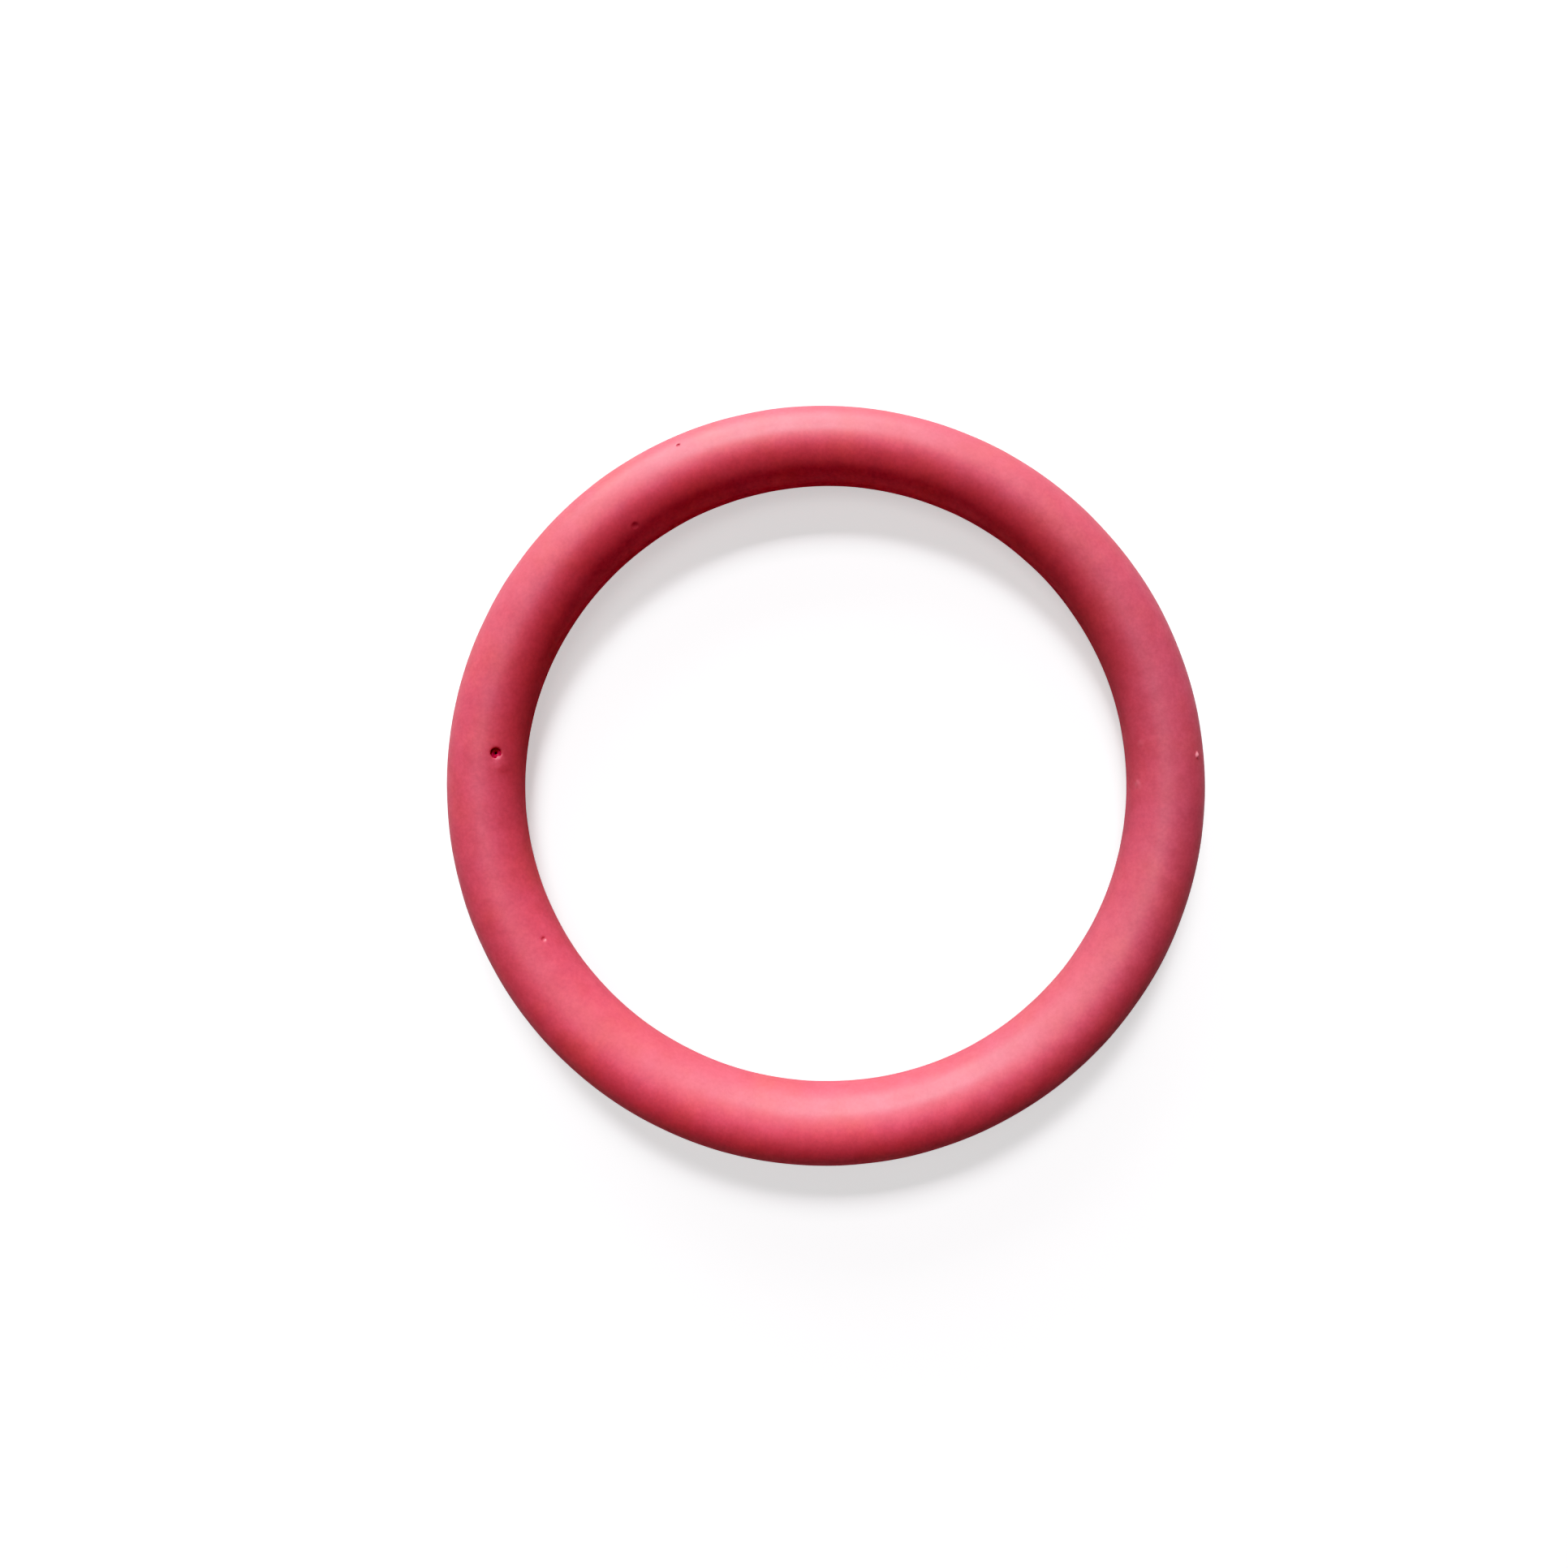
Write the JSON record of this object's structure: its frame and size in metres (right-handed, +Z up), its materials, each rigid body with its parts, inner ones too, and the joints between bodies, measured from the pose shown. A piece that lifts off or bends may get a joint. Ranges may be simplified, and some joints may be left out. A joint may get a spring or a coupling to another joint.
{
  "type": "juggling ring",
  "caption": "Soft round-section ring for juggling: a hollow seamless moulded skin with a small needle hole, and a self-sealing bung held in a socket behind it.",
  "frame": {"origin": "on the ring's axis, on the surface that the ring lies on", "axes": "+Z up along the ring's axis; the needle hole is 174.4 degrees round from +X, on the inner side of the crown"},
  "size_m": [0.24, 0.24, 0.0248],
  "materials": {
    "skin_vinyl": "satin, fine even grain, pinkish red soft vinyl",
    "bung_rubber": "matt dark red soft rubber"
  },
  "bodies": {
    "root": {"ring_skin": "skin_vinyl", "valve_bung": "bung_rubber"}
  },
  "joints": []
}
